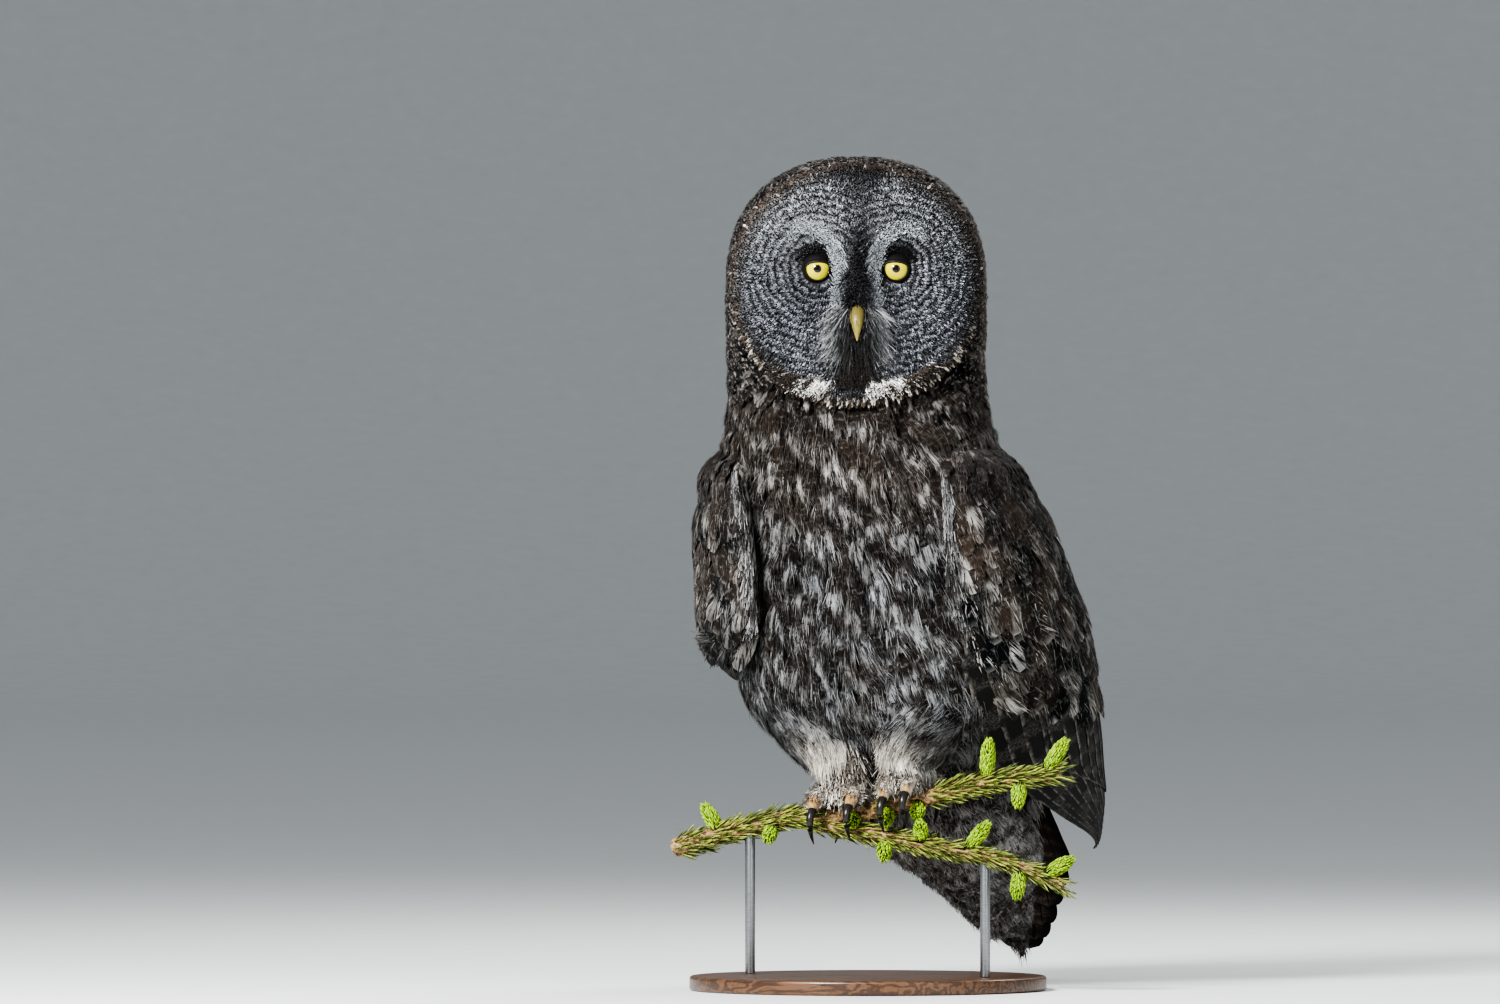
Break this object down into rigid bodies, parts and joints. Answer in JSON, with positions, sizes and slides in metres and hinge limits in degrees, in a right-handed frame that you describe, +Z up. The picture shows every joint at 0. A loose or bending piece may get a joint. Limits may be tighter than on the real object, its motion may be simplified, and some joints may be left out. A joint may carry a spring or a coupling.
{
  "type": "great grey owl",
  "caption": "Life-size still owl with a round facial disc, folded wings and a wedge tail, gripping a cut spruce branch on a round display stand.",
  "frame": {"origin": "centre of the underside of the stand's base", "axes": "+Z up; the owl's body faces -Y and its left side is at +X; the head is turned 25 degrees to its left"},
  "size_m": [0.3091, 0.3973, 0.583],
  "materials": {
    "plumage": "soft matt feathers, brown-grey streaked and mottled with off-white",
    "disc": "fine matt disc feathers in dark and pale grey rings",
    "flight": "smooth dark brown flight feathers with broken pale bars",
    "leg": "short hair-like buff-grey feathers",
    "claw": "smooth black horn",
    "bill": "smooth yellow horn",
    "eye": "wet bright yellow iris with a dark pupil and rim",
    "bark": "tan bark under green needles",
    "wood": "dark stained and satin varnished",
    "steel": "brushed"
  },
  "bodies": {
    "root": {"head": "plumage", "neck": "plumage", "trunk": "plumage", "wing_left_coverts": "plumage", "wing_right_coverts": "plumage", "facial_disc": "disc", "tail": "flight", "wing_left_flight": "flight", "wing_right_flight": "flight", "thigh_left": "leg", "shank_left": "leg", "foot_left": "leg", "thigh_right": "leg", "shank_right": "leg", "foot_right": "leg", "toe_left_1": "leg", "toe_left_2": "leg", "toe_left_3": "leg", "toe_left_4": "leg", "toe_right_1": "leg", "toe_right_2": "leg", "toe_right_3": "leg", "toe_right_4": "leg", "claw_left_1": "claw", "claw_left_2": "claw", "claw_left_3": "claw", "claw_left_4": "claw", "claw_right_1": "claw", "claw_right_2": "claw", "claw_right_3": "claw", "claw_right_4": "claw", "bill_upper": "bill", "bill_lower": "bill", "eye_left": "eye", "eye_right": "eye", "perch_stem": "bark", "perch_fork": "bark", "stand_base": "wood", "stand_rod_left": "steel", "stand_rod_right": "steel"}
  },
  "joints": []
}
